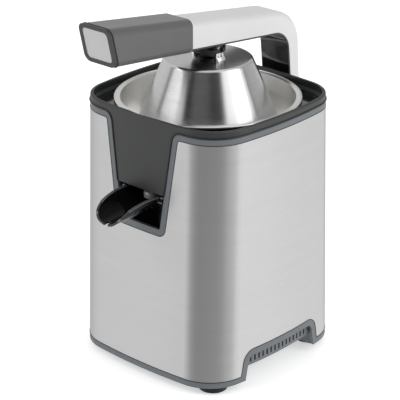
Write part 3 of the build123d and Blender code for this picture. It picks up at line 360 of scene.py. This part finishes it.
# Each line gives a colour, the gloss, how far the shade swings, the grain's size and its depth, and
# then the depth of the waves, all in metres.
moulded("trim_grey", (0.150, 0.165, 0.178), 0.42, 0.05, 0.0005, 0.000012)
moulded("collar_dark", (0.041, 0.042, 0.043), 0.40, 0.05, 0.0004, 0.000016)
moulded("black_gloss", (0.0065, 0.0068, 0.0075), 0.12, 0.10, 0.003, 0.0, 0.00002, Coat_Weight=0.5,
        Coat_Roughness=0.05)
moulded("black_matte", (0.016, 0.016, 0.016), 0.42, 0.08, 0.0004, 0.000014)
moulded("rubber_black", (0.014, 0.014, 0.014), 0.62, 0.12, 0.0006, 0.00003)
moulded("handle_dark", (0.100, 0.100, 0.100), 0.38, 0.04, 0.0005, 0.000010, Coat_Weight=0.5,
        Coat_Roughness=0.22)
moulded("arm_silver", (0.80, 0.80, 0.81), 0.33, 0.015, 0.0006, 0.000005, 0.00001, Metallic=0.25)
moulded("plate_silver", (0.56, 0.56, 0.56), 0.38, 0.02, 0.0006, 0.000006, Metallic=0.3)
moulded("gear_nylon", (0.70, 0.68, 0.60), 0.45, 0.04, 0.0008, 0.00001)
moulded("floor_paint", (0.90, 0.90, 0.90), 0.75, 0.01, 0.002, 0.00001, Emission_Strength=0.5)
floor.data.materials.append(FINISHES["floor_paint"])
print("finishes in all:", len(FINISHES))

# %% [markdown]
# Each CAD piece keeps its mesh. It only exchanges the plain material that came with it for the finish
# of the same name.

# %% Give every CAD piece its finish
for node, piece in NODES.items():
    for slot in piece.material_slots:
        slot.material = FINISHES[slot.material.name.split(".")[0]]
print("pieces with a finish:", len(NODES))

# %% [markdown]
# ## Small pieces that CAD leaves out
#
# Sheet metal is never left with a raw edge where a hand can reach it: the bowl's flange and the dome's
# lower edge are rolled into a bead. A bead is a small circle carried round the axis. The circle's
# points and the turns round the axis are two loops, and the mesh is the grid between them.

# %% Rings about the drive axis
def linked(name, mesh):
    """A new object in the scene."""
    piece = bpy.data.objects.new(name, mesh)
    bpy.context.scene.collection.objects.link(piece)
    return piece


def dress(piece, finish, body):
    """Makes a piece smooth, gives it one finish, and lets it ride on a body."""
    piece.data.materials.clear()
    piece.data.materials.append(FINISHES[finish])
    piece.data.shade_smooth()
    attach(piece, body)
    return piece


def carried_round(name, outline, finish, body, turns=160, axis_y=AXIS_Y):
    """A closed outline of (radius, height) points, carried round an upright axis at x = 0."""
    points, faces = [], []
    count = len(outline)
    for turn in range(turns):
        angle = 2 * pi * turn / turns
        points += [(r * cos(angle), axis_y + r * sin(angle), z) for r, z in outline]
        here, there = turn * count, (turn + 1) % turns * count
        for i in range(count):
            k = (i + 1) % count
            faces.append((here + i, there + i, there + k, here + k))
    mesh = bpy.data.meshes.new(name)
    mesh.from_pydata(points, [], faces)
    dress(linked(name, mesh), finish, body)


def bead(radius, height, thick, steps=16):
    """The outline of a bead: a circle of the given thickness."""
    angles = [2 * pi * step / steps for step in range(steps)]
    return [(radius + thick / 2 * cos(angle), height + thick / 2 * sin(angle)) for angle in angles]


def above(height, points):
    """(x, z) points in millimetres, with z measured up from a height in the frame."""
    return [(x * MM, height + z * MM) for x, z in points]


RIM_BEAD, DOME_BEAD = 1.8 * MM, 1.5 * MM
SUNK, RAISED = 0.5 * MM, 0.4 * MM
FLANGE_R = (bowl_high.x - bowl_low.x) / 2
rim = bead(FLANGE_R - SUNK, bowl_high.z - SUNK, RIM_BEAD)
carried_round("bowl_rolled_rim", rim, "satin_steel", "housing")

dome_low, dome_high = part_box("dome")
DOME_R = (dome_high.x - dome_low.x) / 2
LIP_LINE = [(10.9, 0.1), (12.6, 0.1), (12.6, 1.5), (12.1, 1.9), (11.4, 1.5)]
carried_round("dome_top_lip", above(dome_high.z, LIP_LINE), "black_gloss", "presser")
edge = bead(DOME_R - SUNK, dome_low.z + RAISED, DOME_BEAD)
carried_round("dome_rolled_edge", edge, "dome_steel", "presser")

NOZZLE_AHEAD = 74 * MM
SLEEVE_LINE = [(5.8, 0.2), (6.3, 0.2), (6.7, 0.8), (6.7, 7.0), (5.8, 7.0)]
sleeve = above(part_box("juice_collector")[0].z, SLEEVE_LINE)
carried_round("nozzle_sleeve", sleeve, "plate_silver", "housing", turns=48,
              axis_y=AXIS_Y - NOZZLE_AHEAD)
print("bowl", round(2 * FLANGE_R / MM), "mm wide, dome", round(2 * DOME_R / MM), "mm wide")

# %% [markdown]
# The dome hangs on a hub that unclips for washing. A spring clip of bent sheet sits at each side of it:
# a plate that stands on the dome, with two ribs pressed into it and its upper end curled outwards. The
# plate's side view is an outline of points that is drawn out along the hub's side, and the solid's
# edges are then rounded by a bevel.

# %% Clips at the sides of the dome's hub
CLIP_WIDE, CLIP_ROUNDING = 9.0 * MM, 0.12 * MM
RIB_WIDE, RIB_ROUNDING, RIB_PLACE = 1.2 * MM, 0.1 * MM, 2.4 * MM
CLIP_LINE = [(13.2, 0.0), (16.6, 0.0), (16.6, 0.3), (15.9, 1.8), (14.2, 3.4), (14.2, 6.6), (13.2, 6.6)]
RIB_LINE = [(14.2, 3.4), (14.2, 6.2), (14.9, 5.4), (15.6, 2.6)]


def drawn_out(name, outline, half, finish, body, bevel):
    """A solid whose outline of (x, z) points reaches half a width to both sides along y."""
    shape = bmesh.new()
    near = [shape.verts.new((x, AXIS_Y - half, z)) for x, z in outline]
    far = [shape.verts.new((x, AXIS_Y + half, z)) for x, z in outline]
    shape.faces.new(near)
    shape.faces.new(far[::-1])
    for i in range(len(outline)):
        k = (i + 1) % len(outline)
        shape.faces.new((near[k], near[i], far[i], far[k]))
    bmesh.ops.recalc_face_normals(shape, faces=shape.faces)
    mesh = bpy.data.meshes.new(name)
    shape.to_mesh(mesh)
    shape.free()
    piece = dress(linked(name, mesh), finish, body)
    rounding = piece.modifiers.new("rounding", "BEVEL")
    rounding.width = bevel
    rounding.segments = 2
    return piece


def mirrored(side, points):
    """Points (x, z) above the dome's top, on its left for a side of -1 and on its right for 1."""
    return above(dome_high.z, [(side * x, z) for x, z in points])


for side, word in ((-1, "left"), (1, "right")):
    line = mirrored(side, CLIP_LINE)
    drawn_out("hub_clip_" + word, line, CLIP_WIDE / 2, "satin_steel", "presser", CLIP_ROUNDING)
    for place, end in ((-RIB_PLACE, "front"), (RIB_PLACE, "rear")):
        name = "hub_clip_rib_%s_%s" % (word, end)
        rib = mirrored(side, RIB_LINE)
        piece = drawn_out(name, rib, RIB_WIDE / 2, "satin_steel", "presser", RIB_ROUNDING)
        for vert in piece.data.vertices:
            vert.co.y += place
print("clips are", round(CLIP_WIDE / MM), "mm wide")

# %% [markdown]
# Where two casings meet, the joint shows as a dark line. At the handle's free end a dark gasket fills it.
# On the steel's top and foot seams and round the collar the cord is painted shadow: a black line where
# the joint and the collar's gap are only in shade. The line is already in the CAD model, as the sharp
# outer edge of one of the casings. So the edges are picked out of that mesh by the angle between their
# two faces, turned into a curve, and given a round section.

# %% Dark cords along the casings' edges: painted seam shadows and a gasket
SHARP, WELD = radians(40), 0.01 * MM
# A face looks somewhere if its normal has at least this much of that direction.
FACING, SIDEWAYS = 0.6, 0.9
STEEL_MIDDLE, ARCH_HIGH, BACK = 130 * MM, 45 * MM, 90 * MM
COLLAR_END, HANDLE_END = 4 * MM, 12 * MM
collar_low, collar_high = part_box("top_collar")
sleeve_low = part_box("handle_sleeve")[0]


def edge_cord(name, node, thick, finish, body, wanted):
    """A round cord along those of a CAD piece's sharp edges for which wanted(middle, normals) is true."""
    shape = bmesh.new()
    shape.from_mesh(NODES[node].data)
    bmesh.ops.remove_doubles(shape, verts=shape.verts, dist=WELD)
    line = bmesh.new()
    corner_of = {}
    for seam in shape.edges:
        if len(seam.link_faces) != 2 or seam.calc_face_angle(0) < SHARP:
            continue
        middle = (seam.verts[0].co + seam.verts[1].co) / 2
        normals = [face.normal for face in seam.link_faces]
        if not wanted(middle, normals):
            continue
        ends = []
        for vert in seam.verts:
            if vert.index not in corner_of:
                corner_of[vert.index] = line.verts.new(vert.co)
            ends.append(corner_of[vert.index])
        line.edges.new(ends)
    mesh = bpy.data.meshes.new(name)
    line.to_mesh(mesh)
    total = sum(seam.calc_length() for seam in line.edges)
    line.free()
    shape.free()
    cord = linked(name, mesh)
    bpy.ops.object.select_all(action="DESELECT")
    bpy.context.view_layer.objects.active = cord
    cord.select_set(True)
    bpy.ops.object.convert(target="CURVE")
    cord.data.bevel_depth = thick / 2
    cord.data.bevel_resolution = 2
    bpy.ops.object.convert(target="MESH")
    dress(cord, finish, body)
    print(name, "is", round(total / MM), "mm long")


def outward(middle, normals):
    """True where one of the two faces looks away from the drive axis."""
    away = Vector((middle.x, middle.y - AXIS_Y, 0)).normalized()
    return max(normal.dot(away) for normal in normals) > FACING


def on_steel_top(middle, normals):
    """The steel's upper edge and the edge of its front opening."""
    return outward(middle, normals) and middle.z > STEEL_MIDDLE


def on_steel_foot(middle, normals):
    """The steel's lower edge with its arches, but not the stretch along the back."""
    return outward(middle, normals) and middle.z < ARCH_HIGH and middle.y < BACK


def on_collar(middle, normals):
    """The collar's outer edges, but not those at its top and at the lower end of its front panel."""
    inside = collar_low.z + COLLAR_END < middle.z < collar_high.z - COLLAR_END
    return outward(middle, normals) and inside


def on_handle_end(middle, normals):
    """The outline of the handle's free end."""
    ahead = min(normal.y for normal in normals) < -FACING
    sideways = max(abs(normal.x) + abs(normal.z) for normal in normals) > SIDEWAYS
    return middle.y < sleeve_low.y + HANDLE_END and ahead and sideways


# The black cords on the steel's seams and round the collar are painted shadow, standing for the shade in
# the joints.
edge_cord("steel_top_seam_shadow", "steel_shell", 0.7 * MM, "black_matte", "housing", on_steel_top)
edge_cord("steel_foot_seam_shadow", "steel_shell", 0.8 * MM, "black_matte", "housing", on_steel_foot)
edge_cord("collar_painted_shadow_gap", "top_collar", 1.9 * MM, "black_matte", "housing", on_collar)
edge_cord("handle_gasket", "handle_sleeve", 1.1 * MM, "black_matte", "arm", on_handle_end)

# %% [markdown]
# A moulded rim is never quite sharp. The spout's top edges get a small round bead, which catches the
# light by its shape, and its grey is lighter than the spout's black: a painted highlight along their
# whole length.

# %% The spout's rim
UPWARD = 0.75
RIM_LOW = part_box("spout")[0].z + 14 * MM


def along_rim(middle, normals):
    """The spout's upper edges, where one of the two faces looks up."""
    return max(normal.z for normal in normals) > UPWARD and middle.z > RIM_LOW


# The bead's lighter grey is a painted highlight along the spout's rim.
edge_cord("spout_rim_highlight_bead", "spout", 0.7 * MM, "trim_grey", "spout", along_rim)
